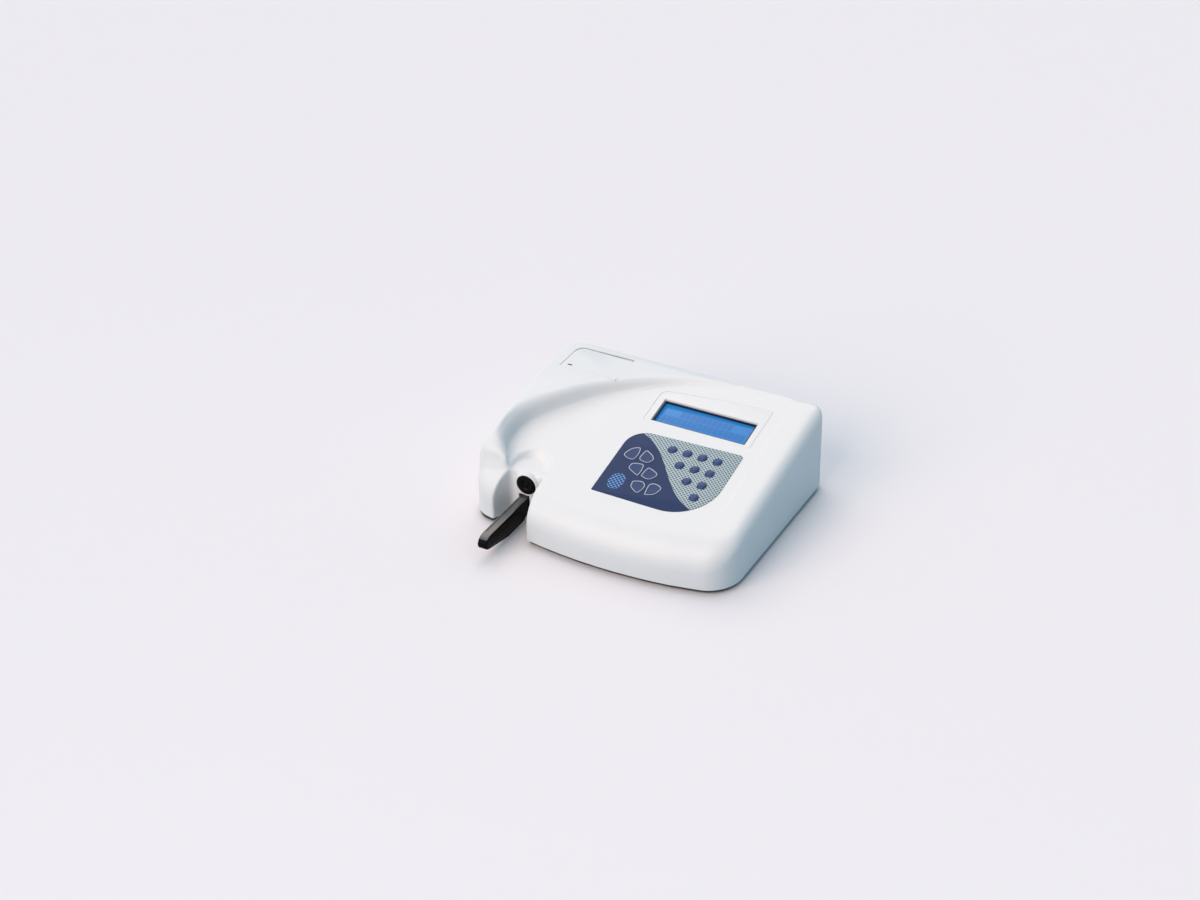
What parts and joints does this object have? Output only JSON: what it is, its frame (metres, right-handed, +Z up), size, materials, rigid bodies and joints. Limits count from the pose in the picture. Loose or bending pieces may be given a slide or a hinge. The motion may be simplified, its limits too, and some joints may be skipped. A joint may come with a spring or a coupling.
{
  "type": "urine analyzer",
  "caption": "Bench-top analyzer with a sloping keypad and display panel, a raised side arm, a test-strip tray sliding from a front niche, a start button and a built-in printer.",
  "frame": {"origin": "centre of the bounding box's bottom, on the table under the analyzer", "axes": "+X to the analyzer's right as its user sees it, +Y to its back, +Z up; the tray slides along Y"},
  "size_m": [0.29, 0.2745, 0.0973],
  "materials": {
    "housing_white": "satin moulded white",
    "base_dark": "fine-grained dark grey",
    "rubber_black": "matt black",
    "bezel_white": "satin moulded white",
    "display_blue": "glossy blue display window",
    "overlay_navy": "printed satin film, dark blue and grey",
    "key_navy": "glossy dark blue",
    "petal_navy": "printed satin film",
    "gloss_black": "glossy black",
    "pad_white": "matt white tile",
    "circuit_green": "solder-resist green",
    "tin_plate": "tin-plated",
    "steel": "plain",
    "gear_nylon": "natural nylon",
    "part_black": "matt black",
    "paper": "uncoated white paper"
  },
  "bodies": {
    "casing": {"upper_housing": "housing_white", "base_cover": "base_dark", "display_bezel": "bezel_white", "lcd_glass": "display_blue", "lcd_module": "tin_plate", "keypad_overlay": "overlay_navy", "keypad_board": "circuit_green", "start_switch": "part_black", "cover_pin": "steel", "printer_chassis": "part_black", "paper_spindle": "part_black", "thermal_head": "tin_plate", "tear_bar": "steel", "tray_guide_left": "part_black", "tray_guide_right": "part_black", "tray_motor": "part_black", "motor_bracket": "steel", "optical_head": "part_black", "head_bracket": "steel", "main_board": "circuit_green", "power_jack": "part_black", "serial_port": "tin_plate", "reader_port": "part_black", "switch_frame": "part_black", "foot_front_left": "rubber_black", "foot_front_right": "rubber_black", "foot_rear_left": "rubber_black", "foot_rear_right": "rubber_black", "case_screw_1": "steel", "case_screw_2": "steel", "case_screw_3": "steel", "case_screw_4": "steel"},
    "tray": {"strip_tray": "gloss_black", "calibration_pad": "pad_white"},
    "tray_gear": {"drive_gear": "gear_nylon"},
    "start_button": {"start_button": "gloss_black"},
    "printer_lid": {"printer_cover": "housing_white", "cover_window": "gloss_black"},
    "platen": {"platen_roller": "rubber_black"},
    "paper": {"paper_roll": "paper"},
    "rocker": {"power_rocker": "part_black"},
    "key_1": {"key_1": "key_navy"},
    "key_2": {"key_2": "key_navy"},
    "key_3": {"key_3": "key_navy"},
    "key_4": {"key_4": "key_navy"},
    "key_5": {"key_5": "key_navy"},
    "key_6": {"key_6": "key_navy"},
    "key_7": {"key_7": "key_navy"},
    "key_8": {"key_8": "key_navy"},
    "key_9": {"key_9": "key_navy"},
    "key_0": {"key_0": "key_navy"},
    "function_key_1": {"function_key_1": "petal_navy"},
    "function_key_2": {"function_key_2": "petal_navy"},
    "function_key_3": {"function_key_3": "petal_navy"},
    "function_key_4": {"function_key_4": "petal_navy"},
    "function_key_5": {"function_key_5": "petal_navy"},
    "function_key_6": {"function_key_6": "petal_navy"}
  },
  "joints": [
    {"name": "tray_slide", "type": "slide", "parent": "casing", "child": "tray", "axis": [0, 1, 0], "range_m": [0, 0.075]},
    {"name": "gear_turn", "type": "hinge", "parent": "casing", "child": "tray_gear", "pos_m": [-0.11363, 0.02825, 0.017], "axis": [0, 0, 1], "range_deg": [0, 340]},
    {"name": "start_press", "type": "slide", "parent": "casing", "child": "start_button", "axis": [0, 1, 0], "range_m": [0, 0.0012], "stiffness_N_per_m": 500},
    {"name": "lid_hinge", "type": "hinge", "parent": "casing", "child": "printer_lid", "pos_m": [-0.096, 0.08405, 0.0953], "axis": [1, 0, 0], "range_deg": [0, 95]},
    {"name": "platen_turn", "type": "hinge", "parent": "printer_lid", "child": "platen", "pos_m": [-0.096, 0.11755, 0.0883], "axis": [1, 0, 0], "continuous": true},
    {"name": "roll_turn", "type": "hinge", "parent": "casing", "child": "paper", "pos_m": [-0.096, 0.10685, 0.0658], "axis": [1, 0, 0], "continuous": true},
    {"name": "power_rock", "type": "hinge", "parent": "casing", "child": "rocker", "pos_m": [0.111, 0.1299, 0.046], "axis": [1, 0, 0], "range_deg": [-14, 0]},
    {"name": "press_key_1", "type": "slide", "parent": "casing", "child": "key_1", "axis": [0, 0.1985, -0.9801], "range_m": [0, 0.0006], "stiffness_N_per_m": 600},
    {"name": "press_key_2", "type": "slide", "parent": "casing", "child": "key_2", "axis": [0, 0.1985, -0.9801], "range_m": [0, 0.0006], "stiffness_N_per_m": 600},
    {"name": "press_key_3", "type": "slide", "parent": "casing", "child": "key_3", "axis": [0, 0.1985, -0.9801], "range_m": [0, 0.0006], "stiffness_N_per_m": 600},
    {"name": "press_key_4", "type": "slide", "parent": "casing", "child": "key_4", "axis": [0, 0.1985, -0.9801], "range_m": [0, 0.0006], "stiffness_N_per_m": 600},
    {"name": "press_key_5", "type": "slide", "parent": "casing", "child": "key_5", "axis": [0, 0.1985, -0.9801], "range_m": [0, 0.0006], "stiffness_N_per_m": 600},
    {"name": "press_key_6", "type": "slide", "parent": "casing", "child": "key_6", "axis": [0, 0.1985, -0.9801], "range_m": [0, 0.0006], "stiffness_N_per_m": 600},
    {"name": "press_key_7", "type": "slide", "parent": "casing", "child": "key_7", "axis": [0, 0.1985, -0.9801], "range_m": [0, 0.0006], "stiffness_N_per_m": 600},
    {"name": "press_key_8", "type": "slide", "parent": "casing", "child": "key_8", "axis": [0, 0.1985, -0.9801], "range_m": [0, 0.0006], "stiffness_N_per_m": 600},
    {"name": "press_key_9", "type": "slide", "parent": "casing", "child": "key_9", "axis": [0, 0.1985, -0.9801], "range_m": [0, 0.0006], "stiffness_N_per_m": 600},
    {"name": "press_key_0", "type": "slide", "parent": "casing", "child": "key_0", "axis": [0, 0.1985, -0.9801], "range_m": [0, 0.0006], "stiffness_N_per_m": 600},
    {"name": "press_function_key_1", "type": "slide", "parent": "casing", "child": "function_key_1", "axis": [0, 0.1985, -0.9801], "range_m": [0, 0.0006], "stiffness_N_per_m": 600},
    {"name": "press_function_key_2", "type": "slide", "parent": "casing", "child": "function_key_2", "axis": [0, 0.1985, -0.9801], "range_m": [0, 0.0006], "stiffness_N_per_m": 600},
    {"name": "press_function_key_3", "type": "slide", "parent": "casing", "child": "function_key_3", "axis": [0, 0.1985, -0.9801], "range_m": [0, 0.0006], "stiffness_N_per_m": 600},
    {"name": "press_function_key_4", "type": "slide", "parent": "casing", "child": "function_key_4", "axis": [0, 0.1985, -0.9801], "range_m": [0, 0.0006], "stiffness_N_per_m": 600},
    {"name": "press_function_key_5", "type": "slide", "parent": "casing", "child": "function_key_5", "axis": [0, 0.1985, -0.9801], "range_m": [0, 0.0006], "stiffness_N_per_m": 600},
    {"name": "press_function_key_6", "type": "slide", "parent": "casing", "child": "function_key_6", "axis": [0, 0.1985, -0.9801], "range_m": [0, 0.0006], "stiffness_N_per_m": 600}
  ],
  "couplings": [
    {"joint": "gear_turn", "follows": "tray_slide", "rad_per_m": 76.923},
    {"joint": "platen_turn", "follows": "roll_turn", "ratio": 3.4375}
  ]
}
